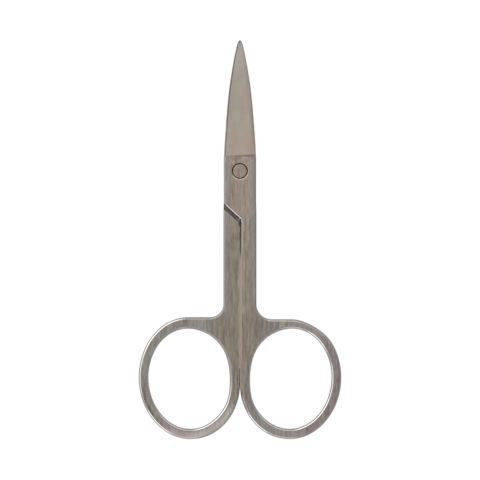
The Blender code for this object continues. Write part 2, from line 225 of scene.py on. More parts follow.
class FinishColours(bpy.types.PropertyGroup):
    joint: colour("Joint steel", "Brushed steel of the joint plates", (0.257, 0.217, 0.185))
    shank: colour("Shank steel", "Brushed steel of the shanks", (0.235, 0.202, 0.172))
    ring: colour("Ring steel", "Brushed steel of the rings", (0.228, 0.21, 0.198))
    rosy: colour("Rosy steel", "Brushed steel low on the rings", (0.215, 0.18, 0.182))
    blade: colour("Blade steel", "Finer ground steel of the blades", (0.35, 0.298, 0.258))
    tip: colour("Tip steel", "Cooler ground steel towards the blades' tips", (0.355, 0.318, 0.288))
    point: colour("Point steel", "Neutral ground steel at the blades' points", (0.36, 0.348, 0.345))
    strip: colour("Strip steel", "Lighter strip along the blades' spines", (0.235, 0.228, 0.21))
    # Painted shade: the dark outline along the blades' steep faces and the dark line inside the rings' rims
    bevel: colour("Bevel steel", "Darker steel of the bevel along the spine", (0.155, 0.138, 0.124))
    cool: colour("Cool steel", "Cooler steel at the sides of the shanks and joint", (0.209, 0.201, 0.201))
    rosy_hue: colour("Rosy hue", "Tint of the steel's rosier patches", (1.0, 0.955, 0.96))
    olive_hue: colour("Olive hue", "Tint of the steel's greener patches", (0.965, 0.985, 0.945))
    rim: colour("Rim steel", "Satin rims of the shanks and joint", (0.31, 0.298, 0.295))
    seam: colour("Seam steel", "Lighter chamfer along the seam", (0.203, 0.168, 0.14))
    polish: colour("Polished steel", "Polished rims of the rings", (0.56, 0.54, 0.53))
    screw: colour("Screw steel", "Turned steel of the screw", (0.25, 0.207, 0.172))
    # Old oil with painted shade: darkens the joint's gaps, the open ring round the screw head and the
    # screw's slot
    grime: colour("Joint grime", "Old oil in the joint's gaps", (0.048, 0.031, 0.02))
    dark_oil_and_shade: colour("Dark oil", "Darker oil round the screw head and in its slot", (0.034, 0.014, 0.006))
    rough_ground: share("Ground roughness", "Roughness of the brushed faces", 0.38)
    rough_blade: share("Blade roughness", "Roughness of the blades' faces", 0.42)
    rough_rim: share("Rim roughness", "Roughness of the satin rims", 0.48)
    rough_polish: share("Polish roughness", "Roughness of the polished rims", 0.17)


class StudioSettings(bpy.types.PropertyGroup):
    view_width: length("View width", "Width of the picture at the scissors", 108.14)
    view_x: offset("View X", "Middle of the picture across", 0.011)
    view_y: offset("View Y", "Middle of the picture along", -0.056)
    view_height: length("Focus height", "Height over the floor where the view width is measured", 3.4)
    camera_distance: length("Camera distance", "Camera to the scissors", 1200.0)
    floor_radius: length("Floor radius", "Radius of the pale floor", 2000.0)
    floor_rise: length("Floor rise", "Height of the floor's raised border", 260.0)
    shadow: share("Shadow", "Share of the floor's shading that the camera sees", 0.07)
    room_low: share("Low room light", "Grey of the room near the floor", 0.2)
    room_high: share("High room light", "Grey of the room round the lamps", 0.45)


class ScissorsSettings(bpy.types.PropertyGroup):
    ring: PointerProperty(type=RingSizes, name="Rings", description="Sizes of the finger rings")
    shank: PointerProperty(type=ShankSizes, name="Shanks", description="Sizes of the shanks and joint")
    blade: PointerProperty(type=BladeSizes, name="Blades", description="Sizes of the blades")
    screw: PointerProperty(type=ScrewSizes, name="Screw", description="Sizes of the pivot screw")
    finish: PointerProperty(type=FinishColours, name="Finish", description="Colours and roughness")
    studio: PointerProperty(type=StudioSettings, name="Studio", description="Camera, floor and light")


# Shapes. All of them are measured from the pivot's axis and from the floor.


def plate_face(settings):
    """Height of the upper joint plate's underside."""
    return settings.shank.thickness / 2 + settings.shank.joint_gap / 2


def add_loop(mesh_edit, points):
    """Vertices and edges along a closed line of points."""
    verts = [mesh_edit.verts.new(point) for point in points]
    return [mesh_edit.edges.new(pair) for pair in zip(verts, verts[1:] + verts[:1])]


def loft(loops):
    """A closed body through loops of points."""
    mesh_edit = bmesh.new()
    rings = [add_loop(mesh_edit, loop) for loop in loops]
    for near, far in zip(rings, rings[1:]):
        bmesh.ops.bridge_loops(mesh_edit, edges=near + far)
    for end in (rings[0], rings[-1]):
        bmesh.ops.contextual_create(mesh_edit, geom=end)
    return mesh_edit


def raise_faces(mesh_edit, height):
    """Give flat faces a thickness upwards."""
    raised = bmesh.ops.extrude_face_region(mesh_edit, geom=mesh_edit.faces[:])
    top = [item for item in raised["geom"] if isinstance(item, bmesh.types.BMVert)]
    bmesh.ops.translate(mesh_edit, verts=top, vec=(0, 0, height))


def turn_over(mesh_edit, thickness):
    """Turn one half's flat parts over, so that they make the other half."""
    half_turn = Matrix.Rotation(math.pi, 4, "Y")
    bmesh.ops.rotate(mesh_edit, cent=(0, 0, thickness / 2), matrix=half_turn, verts=mesh_edit.verts)


def turned(profile, sides):
    """A body turned about the Z axis from points (radius, height)."""
    mesh_edit = bmesh.new()
    verts = [mesh_edit.verts.new((radius, 0, z)) for radius, z in profile]
    edges = [mesh_edit.edges.new(pair) for pair in zip(verts, verts[1:])]
    bmesh.ops.spin(
        mesh_edit,
        geom=verts + edges,
        cent=(0, 0, 0),
        axis=(0, 0, 1),
        angle=math.tau,
        steps=sides,
        use_merge=True,
    )
    bmesh.ops.remove_doubles(mesh_edit, verts=mesh_edit.verts, dist=MERGE_DISTANCE)
    return mesh_edit


def block(size, middle):
    """A box of a size about its middle."""
    mesh_edit = bmesh.new()
    bmesh.ops.create_cube(mesh_edit, size=1.0)
    bmesh.ops.scale(mesh_edit, vec=size, verts=mesh_edit.verts)
    bmesh.ops.translate(mesh_edit, vec=middle, verts=mesh_edit.verts)
    return mesh_edit


def make_piece(name, mesh_edit):
    bmesh.ops.recalc_face_normals(mesh_edit, faces=mesh_edit.faces)
    mesh = bpy.data.meshes.new(name)
    mesh_edit.to_mesh(mesh)
    mesh_edit.free()
    piece = bpy.data.objects.new(name, mesh)
    bpy.context.scene.collection.objects.link(piece)
    return piece


def combine(piece, tool, operation="DIFFERENCE"):
    step = piece.modifiers.new(tool.name, "BOOLEAN")
    step.operation = operation
    step.object = tool
    step.solver = "EXACT"


def settle(piece):
    """Keep what the modifiers make as the piece's mesh, with its flat faces joined up again."""
    evaluated = piece.evaluated_get(bpy.context.evaluated_depsgraph_get())
    mesh = bpy.data.meshes.new_from_object(evaluated)
    tools = [step.object for step in piece.modifiers if step.type == "BOOLEAN"]
    piece.modifiers.clear()
    old = piece.data
    piece.data = mesh
    bpy.data.meshes.remove(old)
    for tool in tools:
        bpy.data.objects.remove(tool, do_unlink=True)
    mesh_edit = bmesh.new()
    mesh_edit.from_mesh(mesh)
    bmesh.ops.remove_doubles(mesh_edit, verts=mesh_edit.verts, dist=MERGE_DISTANCE)
    bmesh.ops.dissolve_degenerate(mesh_edit, edges=mesh_edit.edges, dist=MERGE_DISTANCE)
    bmesh.ops.dissolve_limit(
        mesh_edit,
        angle_limit=LEVEL_ANGLE,
        verts=mesh_edit.verts,
        edges=mesh_edit.edges,
        use_dissolve_boundaries=False,
    )
    mesh_edit.to_mesh(mesh)
    mesh_edit.free()


def finish_piece(piece, material, node, body):
    """Place a piece on its CAD node, shade it, and let it ride on its body."""
    piece.data.transform(Matrix.Translation((PIVOT.x, PIVOT.y, 0)))
    piece.data.materials.append(material)
    piece.data.shade_smooth()
    piece.data.set_sharp_from_angle(angle=SHARP_ANGLE)
    even = piece.modifiers.new("even shading", "WEIGHTED_NORMAL")
    even.mode = "FACE_AREA"
    even.weight = 100
    even.keep_sharp = True
    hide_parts(node)
    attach(piece, body)


def ring_extent(ring, half_across, half_along):
    """Half the width and half the height that a leaning oval takes up."""
    width = math.hypot(half_across * math.cos(ring.lean), half_along * math.sin(ring.lean))
    height = math.hypot(half_along * math.cos(ring.lean), half_across * math.sin(ring.lean))
    return width, height


def ring_radii(ring):
    """Half the ring's outer width and height before it leans."""
    return ring.hole_width / 2 + ring.band, ring.hole_height / 2 + ring.end_band


def ring_middle(ring):
    """Middle of the right ring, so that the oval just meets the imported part's box."""
    width, height = ring_extent(ring, *ring_radii(ring))
    return Vector((RING_OUTSIDE - width, RING_BOTTOM + height))


def outermost_turn(ring, half_across, half_along):
    """Turn of a leaning oval's outermost point, counted from its own axis."""
    return math.atan2(half_along * math.sin(ring.lean), half_across * math.cos(ring.lean))


def oval_point(ring, half_across, half_along, fullness, turn, crown=0.0, power=2):
    """A point of the right ring's leaning oval, fuller towards the seam; turn 0 is its outermost point."""
    own_turn = turn + outermost_turn(ring, half_across, half_along)
    across = half_across * math.cos(own_turn)
    along = half_along * math.sin(own_turn)
    x = across * math.cos(ring.lean) + along * math.sin(ring.lean)
    y = along * math.cos(ring.lean) - across * math.sin(ring.lean)
    if math.cos(turn) < 0:
        x -= fullness * abs(math.sin(2 * turn)) ** power
    y += crown * max(math.sin(turn), 0.0) ** 2
    middle = ring_middle(ring)
    return middle.x + x, middle.y + y


def ring_top_turn(ring):
    """Where the outer oval is highest, counted as oval_point does."""
    across, along = ring_radii(ring)
    own_turn = math.atan2(along * math.cos(ring.lean), -across * math.sin(ring.lean))
    return own_turn - outermost_turn(ring, across, along)


def flat_outline(settings, side):
    """A half's joint plate, shank and ring from its own face, with each side's rounding."""
    ring, shank, blade = settings.ring, settings.shank, settings.blade
    crown, flatter, fillet = ring.front_crown, ring.front_flat, shank.front_fillet
    if side < 0:
        crown, flatter, fillet = ring.rear_crown, 0, shank.rear_fillet
    seam = shank.seam_gap / 2
    outer_across, outer_along = ring_radii(ring)
    spare = OVERRUN / 4
    points = [
        (-shank.joint_half_width, blade.shoulder, shank.rim_round),
        (-shank.joint_half_width, -shank.notch_reach - spare, shank.seam_round),
        (seam, -shank.notch_reach - shank.notch_drop - spare, shank.seam_round),
    ]
    sweep = math.pi + ring_top_turn(ring)
    off_seam = ring_middle(ring).x - ring_extent(ring, outer_across, outer_along)[0] - seam
    for step in range(ring.sides + 1):
        turn = -math.pi + sweep * step / ring.sides
        x, y = oval_point(ring, outer_across, outer_along, ring.fullness, turn, crown, 1)
        x -= off_seam * max(-math.cos(turn), 0)
        part = (turn - FLAT_START) / FLAT_SPAN
        if 0 < part < 1:
            y -= flatter * math.sin(math.pi * part) ** 2
        fade = min(step / shank.seam_fade, 1)
        points.append((max(x, seam), y, shank.seam_round + (ring.rim_round - shank.seam_round) * fade))
    ring_top = points[-1][1]
    for step in range(shank.fillet_sides + 1):
        turn = math.pi / 2 * step / shank.fillet_sides
        x = shank.half_width + fillet * (1 - math.sin(turn))
        y = ring_top + fillet * (1 - math.cos(turn))
        points.append((x, y, ring.rim_round + (shank.rim_round - ring.rim_round) * math.sin(turn)))
    points.append((shank.half_width, -shank.swell, shank.rim_round))
    points.append((shank.joint_half_width, -shank.notch_reach, shank.rim_round))
    points.append((shank.joint_half_width, blade.shoulder, blade.shoulder_round))
    return points


def flat_blank(settings, side):
    """Joint plate, shank and ring at full thickness, with weights for the rounding along their rims."""
    outline = flat_outline(settings, side)
    mesh_edit = bmesh.new()
    corner = mesh_edit.verts.layers.int.new("corner")
    edges = add_loop(mesh_edit, [(x, y, 0) for x, y, _ in outline])
    for index, vert in enumerate(mesh_edit.verts):
        vert[corner] = index
    bmesh.ops.contextual_create(mesh_edit, geom=edges)
    raise_faces(mesh_edit, settings.shank.thickness)
    weights = mesh_edit.edges.layers.float.new("bevel_weight_edge")
    for edge in mesh_edit.edges:
        first, second = sorted(vert[corner] for vert in edge.verts)
        start = second if second - first > 1 else first
        if first != second:
            edge[weights] = outline[start][2] / settings.ring.rim_round
    return mesh_edit


def hole_cutter(settings):
    """The finger hole, flared at both faces so that it leaves a rounded rim."""
    ring, shank = settings.ring, settings.shank
    levels = [(-OVERRUN, ring.rim_round)]
    for step in range(shank.rim_segments + 1):
        turn = math.pi / 2 * step / shank.rim_segments
        levels.append((ring.rim_round * (1 - math.cos(turn)), ring.rim_round * (1 - math.sin(turn))))
    levels += [(shank.thickness - z, spread) for z, spread in reversed(levels)]
    loops = []
    for z, spread in levels:
        across, along = ring.hole_width / 2 + spread, ring.hole_height / 2 + spread
        loop = []
        for side in range(ring.sides):
            turn = math.tau * side / ring.sides
            fullness = ring.hole_fullness
            if turn >= math.pi:
                fullness = ring.low_fullness * math.cos(turn) ** 4
            loop.append((*oval_point(ring, across, along, fullness, turn), z))
        loops.append(loop)
    return loft(loops)


def lap_cutter(settings):
    """Takes the lower layer off the joint plate down to the shank's shoulder, with a chamfered mouth."""
    shank, blade = settings.shank, settings.blade
    seam = shank.seam_gap / 2
    slope = shank.notch_drop / (shank.joint_half_width + seam + shank.slit_width)
    drop = shank.notch_width * math.hypot(1, slope)
    far_x = shank.half_width + OVERRUN
    top_y = blade.shoulder + OVERRUN

    def shoulder_y(x):
        return -shank.notch_reach - drop - slope * (shank.joint_half_width - x)

    bend = Vector((seam, shoulder_y(seam)))
    start_x = seam + shank.notch_corner * math.cos(math.atan(slope))
    start = Vector((start_x, shoulder_y(start_x)))
    end = Vector((seam - shank.slit_width, bend.y - shank.notch_corner))
    steps = shank.fillet_sides // 2
    edge = [Vector((far_x, shoulder_y(far_x)))]
    for step in range(steps + 1):
        part = step / steps
        edge.append(start.lerp(bend, part).lerp(bend.lerp(end, part), part))
    edge.append(Vector((-far_x, end.y)))
    lip = shank.notch_lip
    rise = math.tan(shank.lip_slope)
    levels = [(-OVERRUN, lip + OVERRUN / rise), (lip * rise, 0.0), (plate_face(settings), 0.0)]
    loops = []
    for z, spread in levels:
        line = [(point.x, point.y - spread, z) for point in edge]
        loops.append(line + [(-far_x, top_y, z), (far_x, top_y, z)])
    return loft(loops)


def edge_cutter(settings):
    """Shapes the upper layer along the notch and the seam: the chamfered edge, the slit and the groove."""
    shank = settings.shank
    seam = shank.seam_gap / 2
    low, top = shank.thickness / 2, shank.thickness
    corner = Vector((seam + shank.slit_width, -shank.notch_reach - shank.notch_drop))
    end = Vector((-shank.joint_half_width, -shank.notch_reach))
    along = (end - corner).normalized()
    across = Vector((along.y, -along.x))
    to_seam = Vector((-1, 0))
    across = across if across.dot(to_seam) > 0 else -across
    mitre = (across + to_seam) / (1 + across.dot(to_seam))
    closed = seam - SEAM_LAP
    groove = seam + shank.groove_width
    at_notch = (shank.notch_chamfer, math.tan(shank.chamfer_slope))
    at_seam = (shank.seam_chamfer, math.tan(shank.seam_slope))
    stations = [
        (end + along * OVERRUN, across, at_notch),
        (corner, mitre, at_notch),
        (corner + Vector((0, -OVERRUN)), to_seam, at_seam),
        (Vector((seam + shank.slit_low_width, -shank.slit_reach + SLIT_CLOSING)), to_seam, at_seam),
        (Vector((closed, -shank.slit_reach)), to_seam, at_seam),
        (Vector((closed, -shank.groove_reach)), to_seam, at_seam),
        (Vector((groove, -shank.groove_reach - OVERRUN)), to_seam, at_seam),
        (Vector((groove, -shank.groove_reach - GROOVE_LENGTH)), to_seam, at_seam),
    ]
    high = top + OVERRUN
    loops = []
    for place, out, (width, rise) in stations:
        slope_end = (-width - OVERRUN / rise, high)
        section = [(OVERRUN, low), (0, low), (0, top - width * rise), slope_end, (OVERRUN, high)]
        loops.append([(*(place + out * reach), z) for reach, z in section])
    return loft(loops)


def ledge_blank(settings):
    """A ledge deep in the notch's inner end, under the upper layer, that closes the view through it."""
    shank = settings.shank
    low, high = LEDGE_LOW_SHARE * shank.thickness, shank.thickness / 2 - shank.joint_gap / 4
    near = -shank.notch_reach - shank.notch_drop + LEDGE_SETBACK
    size = (shank.notch_ledge, LEDGE_LENGTH, high - low)
    middle = (shank.seam_gap / 2 + size[0] / 2, near - size[1] / 2, (low + high) / 2)
    return block(size, middle)


def blade_half_width(blade, y):
    """Half the width of the closed blades at a distance from the pivot, through the outline's shares."""
    reach = max((BLADE_REACH - y) / (BLADE_REACH - blade.shoulder), 0)
    table = BLADE_OUTLINE_SHARES
    if reach >= 1:
        return blade.half_width
    index = max(i for i in range(len(table) - 1) if table[i][0] <= reach)
    before = table[max(index - 1, 0)]
    left, right = table[index], table[index + 1]
    after = table[min(index + 2, len(table) - 1)]
    span = right[0] - left[0]
    local = (reach - left[0]) / span
    slope_left = (right[1] - before[1]) / (right[0] - before[0])
    slope_right = (after[1] - left[1]) / (after[0] - left[0])
    value = (
        (2 * local**3 - 3 * local**2 + 1) * left[1]
        + (local**3 - 2 * local**2 + local) * span * slope_left
        + (3 * local**2 - 2 * local**3) * right[1]
        + (local**3 - local**2) * span * slope_right
    )
    return blade.half_width * value


def blade_rise(blade, x, y):
    """Height of the mating face over the joint: the same all round the pivot, so that the blades pass."""
    along = math.hypot(x, y) - blade.curve_start
    if along <= 0:
        return 0.0
    return blade.curve_radius - math.sqrt(blade.curve_radius**2 - along**2)


def blade_section(settings, y):
    """Points round a blade at one place, as (x, height over the mating face), spine at -X."""
    blade = settings.blade
    width = blade_half_width(blade, y)
    part = min(max((y - blade.shoulder) / (BLADE_REACH - blade.shoulder), 0), 1)
    plate = settings.shank.thickness - plate_face(settings)
    spine = plate - blade.hollow - blade.root_step
    spine += (blade.spine_tip - spine) * part
    edge = blade.edge_root + (blade.edge_tip - blade.edge_root) * part
    most = width * blade.tip_bevel
    left = -width
    right = width - min(blade.edge_setback, most)
    root = min(max((blade.root_reach - y) / blade.root_fade, 0), 1)
    strip = blade.root_strip * (blade.strip_share + (1 - blade.strip_share) * root)
    spine_bevel = min(blade.spine_bevel + (blade.root_bevel - blade.spine_bevel) * root, most)
    edge_bevel = min(blade.edge_bevel, most)
    inner = left + min(strip, most / 4)
    inner_height = spine - spine_bevel * math.tan(blade.bevel_slope)
    steps = [step / blade.columns for step in range(blade.columns + 1)]
    points = [(left + (right - left) * step, 0.0) for step in steps]
    points.append((right, edge - edge_bevel * math.tan(blade.edge_slope)))
    for step in steps:
        x = (right - edge_bevel) * (1 - step) + (inner + spine_bevel) * step
        points.append((x, edge + (spine - edge) * step))
    points.append((inner, inner_height))
    points.append((left, inner_height - (inner - left) * math.tan(blade.root_slope)))
    return points


def blade_blank(settings, side):
    """A blade; side is 1 for the upper half and -1 for the half behind it."""
    blade = settings.blade
    root = blade.shoulder - blade.root_overlap
    face_z = settings.shank.thickness / 2 + side * (settings.shank.joint_gap / 2 + blade.hollow)
    loops = []
    for station in range(blade.stations + 1):
        y = root + (BLADE_REACH - root) * (1 - (1 - station / blade.stations) ** STATION_CROWDING)
        loop = []
        for x, height in blade_section(settings, y):
            loop.append((side * x, y, face_z + blade_rise(blade, x, y) + side * height))
        loops.append(loop)
    return loft(loops)


def add_half(settings, name, side, bore):
    """Join a half from its flat parts and its blade, with its lap, slit and bore cut."""
    shank = settings.shank
    flat, lap, edge = flat_blank(settings, side), lap_cutter(settings), edge_cutter(settings)
    hole, ledge = hole_cutter(settings), ledge_blank(settings)
    if side < 0:
        for mesh_edit in (flat, lap, edge, hole, ledge):
            turn_over(mesh_edit, shank.thickness)
    half = make_piece(name, flat)
    rounding = half.modifiers.new("rounded rims", "BEVEL")
    rounding.limit_method = "WEIGHT"
    rounding.width = settings.ring.rim_round
    rounding.segments = shank.rim_segments
    rounding.use_clamp_overlap = False
    for part, cutter in (("hole", hole), ("lap", lap), ("edge", edge), ("bore", bore)):
        combine(half, make_piece(f"{name}_{part}", cutter))
    settle(half)
    combine(half, make_piece(f"{name}_ledge", ledge), "UNION")
    combine(half, make_piece(f"{name}_blade", blade_blank(settings, side)), "UNION")
    settle(half)
    return half


def seat_cutter(settings):
    """The head's seat and the journal's bore in the upper half."""
    screw = settings.screw
    top = settings.shank.thickness
    floor = HEAD_TOP - screw.head_thickness - screw.seat_clearance
    bore = screw.journal_radius + screw.running_clearance
    seat = screw.head_radius + screw.head_clearance
    rise = math.tan(screw.seat_slope)
    mouth = seat + screw.seat_chamfer + OVERRUN / rise
    low, high = plate_face(settings) - OVERRUN, top + OVERRUN
    lip = top - screw.seat_chamfer * rise
    steps = [(bore, low), (bore, floor), (seat, floor), (seat, lip), (mouth, high)]
    return turned([(0, low), *steps, (0, high)], screw.sides)


def thread_cutter(settings):
    """The bore in the lower half, with a countersunk mouth on the back."""
    screw = settings.screw
    bore = screw.thread_radius + screw.thread_clearance
    mouth = bore + screw.end_chamfer + OVERRUN
    high = plate_face(settings) + OVERRUN
    steps = [(mouth, -OVERRUN), (bore, screw.end_chamfer), (bore, high)]
    return turned([(0, -OVERRUN), *steps, (0, high)], screw.sides)


def screw_blank(settings):
    screw, shank = settings.screw, settings.shank
    under_head = HEAD_TOP - screw.head_thickness
    step = shank.thickness / 2 - shank.joint_gap / 2 + screw.seat_clearance
    profile = [
        (0, SCREW_END),
        (screw.thread_radius - screw.end_chamfer, SCREW_END),
        (screw.thread_radius, SCREW_END + screw.end_chamfer),
        (screw.thread_radius, step),
        (screw.journal_radius, step),
        (screw.journal_radius, under_head),
        (screw.head_radius, under_head),
        (screw.head_radius, HEAD_TOP - screw.head_chamfer * math.tan(shank.chamfer_slope)),
        (screw.head_radius - screw.head_chamfer, HEAD_TOP),
        (0, HEAD_TOP),
    ]
    return turned(profile, screw.sides)


def slot_cutter(settings):
    screw = settings.screw
    reach = 2 * (screw.head_radius + OVERRUN)
    size = (screw.slot_width, reach, screw.slot_depth + OVERRUN)
    return block(size, (screw.slot_shift, 0, HEAD_TOP - screw.slot_depth + size[2] / 2))


# Finishes. Places are in millimetres from the pivot, and a tilt is 0 on faces that point up or down.

STEEL_RELIEF = 0.0025 * MM
SCREW_RELIEF = 0.003 * MM

# A half's own joint face lies within this height of the stock's middle
FACE_REACH = 0.05


class Signal:
    """A value in a material that changes over the surface; sums and products of it add Math nodes."""

    def __init__(self, finish, socket):
        self.finish = finish
        self.socket = socket

    def math(self, operation, *values):
        return self.finish.node("ShaderNodeMath", {"operation": operation}, dict(enumerate(values)))

    def __add__(self, other):
        return self.math("ADD", self, other)

    def __sub__(self, other):
        return self.math("SUBTRACT", self, other)

    def __rsub__(self, other):
        return self.math("SUBTRACT", other, self)

    def __mul__(self, other):
        return self.math("MULTIPLY", self, other)

    __radd__ = __add__
    __rmul__ = __mul__

    def size(self):
        return self.math("ABSOLUTE", self)

    def sign(self):
        return self.math("SIGN", self)

    def most(self, other):
        return self.math("MAXIMUM", self, other)

    def above(self, low, high):
        """0 below low and 1 above high, with a soft step."""
        sockets = {"Value": self, "From Min": low, "From Max": high}
        return self.finish.node("ShaderNodeMapRange", {"interpolation_type": "SMOOTHSTEP"}, sockets)

    def below(self, low, high):
        """1 below low and 0 above high, with a soft step."""
        return 1 - self.above(low, high)

    def near(self, middle, inner, outer):
        """1 up to inner away from a middle and 0 beyond outer."""
        return (self - middle).size().below(inner, outer)


class Finish:
    """A material, and the patterns that its nodes draw on the steel."""

    def __init__(self, name):
        self.material = bpy.data.materials.new(name)
        self.material.use_nodes = True
        self.tree = self.material.node_tree
        self.tree.nodes.clear()

    def node(self, kind, settings=None, sockets=None, output=0):
        """Add a node: its settings first, then the values or links of its sockets."""
        made = self.tree.nodes.new(kind)
        for name, value in (settings or {}).items():
            setattr(made, name, value)
        for key, value in (sockets or {}).items():
            if isinstance(value, Signal):
                self.tree.links.new(value.socket, made.inputs[key])
            else:
                made.inputs[key].default_value = value
        return Signal(self, made.outputs[output])

    def place(self):
        """Where a point is from the pivot, in millimetres."""
        sockets = {0: self.node("ShaderNodeTexCoord", output="Object"), 1: (PIVOT.x, PIVOT.y, 0)}
        centred = self.node("ShaderNodeVectorMath", {"operation": "SUBTRACT"}, sockets)
        return self.stretch(centred, (1 / MM, 1 / MM, 1 / MM))

    def stretch(self, place, factors):
        return self.node("ShaderNodeVectorMath", {"operation": "MULTIPLY"}, {0: place, 1: factors})

    def from_axis(self, place):
        """How far a place is from the pivot's axis."""
        flat_place = self.stretch(place, (1, 1, 0))
        return self.node("ShaderNodeVectorMath", {"operation": "LENGTH"}, {0: flat_place}, "Value")

    def facing(self):
        """Which way the surface faces, as X, Y and Z."""
        return self.split(self.node("ShaderNodeNewGeometry", output="Normal"))

    def shaded(self, base, tone):
        """A colour made lighter or darker."""
        return self.node("ShaderNodeVectorMath", {"operation": "SCALE"}, {0: base, "Scale": tone}, "Vector")

    def split(self, place):
        made = self.node("ShaderNodeSeparateXYZ", sockets={0: place})
        outputs = made.socket.node.outputs
        return [Signal(self, outputs[axis]) for axis in "XYZ"]

    def grain(self, place, factors, detail=3.0, roughness=0.6):
        """Noise from 0 to 1 whose features are 1 / factors millimetres long."""
        stretched = self.stretch(place, factors)
        sockets = {"Vector": stretched, "Scale": 1.0, "Detail": detail, "Roughness": roughness}
        return self.node("ShaderNodeTexNoise", {"noise_dimensions": "3D"}, sockets, "Fac")

    def mix(self, share, first, second, blend="MIX"):
        """A colour between two."""
        settings = {"data_type": "RGBA", "blend_type": blend, "clamp_factor": True}
        first, second = (c if isinstance(c, Signal) else (*c, 1.0) for c in (first, second))
        return self.node("ShaderNodeMix", settings, {0: share, 6: first, 7: second}, 2)

    def metal(self, base, roughness, relief, depth, bare):
        """The steel's shader, with the relief's depth in metres and bare steel where neither oil nor painted
        shade lies.
        """
        bump = self.node("ShaderNodeBump", {}, {"Height": relief, "Strength": 1.0, "Distance": depth})
        sockets = {"Base Color": base, "Metallic": bare, "Roughness": roughness, "Normal": bump}
        shader = self.node("ShaderNodeBsdfPrincipled", {}, sockets)
        self.node_output(shader)
        return self.material

    def node_output(self, shader):
        made = self.tree.nodes.new("ShaderNodeOutputMaterial")
        self.tree.links.new(shader.socket, made.inputs["Surface"])


def tinted(base, factor):
    return tuple(min(channel * factor, 1.0) for channel in base)


def hundredths(metres):
    """A length in millimetres, to two decimals."""
    return round(metres / MM, 2)


def joint_oil_and_shade(settings, side, x, y, z, radius):
    """How much old oil and painted shade darken a place: in the ring round the screw head, the notches and
    the slits.
    """
    shank, screw = settings.shank, settings.screw
    middle = shank.thickness / 2 / MM
    shoulder = settings.blade.shoulder / MM
    level = z - (middle + side * FACE_REACH)
    side_x = x * level.sign()
    sunk = level.size().below(middle - 0.4, middle - 0.1)

    # The notch runs aslant: line is the distance across it
    slope = shank.notch_drop / (shank.joint_half_width + shank.slit_width)
    aslant = math.hypot(1, slope)
    line = (side_x * slope + y) * (1 / aslant)
    edge = -(shank.notch_reach + slope * shank.joint_half_width) / MM / aslant
    half_gap = shank.notch_width / 2 / MM
    # Painted shade on the notch's floor, darkest next to its edges
    notch = line.near(edge - half_gap, half_gap + 0.02, half_gap + 0.12) * side_x.below(0.3, 0.5)
    off_edge = (line - edge).size().above(0.1, 0.4)
    off_lower_edge = (line - (edge - 2 * half_gap)).size().above(0.1, 0.34)
    notch = notch * (0.95 - off_edge * (0.14 + off_lower_edge * 0.26))

    under_notch = y.below(-11.9, -11.2)
    # Painted shade in the slit, its mouth, the pit at its top and the groove between the rings' roots
    slit = side_x.near(0.12, 0.2, 0.3) * y.above(-21.0, -19.5) * under_notch
    mouth = side_x.near(0.06, 0.07, 0.13) * y.above(-20.5, -17.5) * under_notch
    pit = side_x.near(-0.08, 0.12, 0.2) * y.above(-12.7, -12.4) * y.below(-11.3, -11.1)
    groove = x.near(-0.1, 0.08, 0.13) * y.above(-49.0, -48.0) * y.below(-44.7, -44.3)
    # Painted shade in the corner at the blade's shoulder, stronger towards the cutting edge
    step = y.near(shoulder + 0.1, 0.1, 0.24) * (x * side).above(-2.5, 2.5)
    seat_edge = (screw.head_radius + screw.head_clearance) / MM
    # Painted shade in the open ring round the screw head
    seat = radius.below(seat_edge - 0.01, seat_edge + 0.03) * level.above(0.1, 0.2)
    seat = seat * level.below(middle - 0.12, middle - 0.06)
    grime = (notch.most(slit) * sunk).most(seat)
    return grime.most(step * 0.5).most(pit).most(groove * 0.85).most(mouth * 0.8)


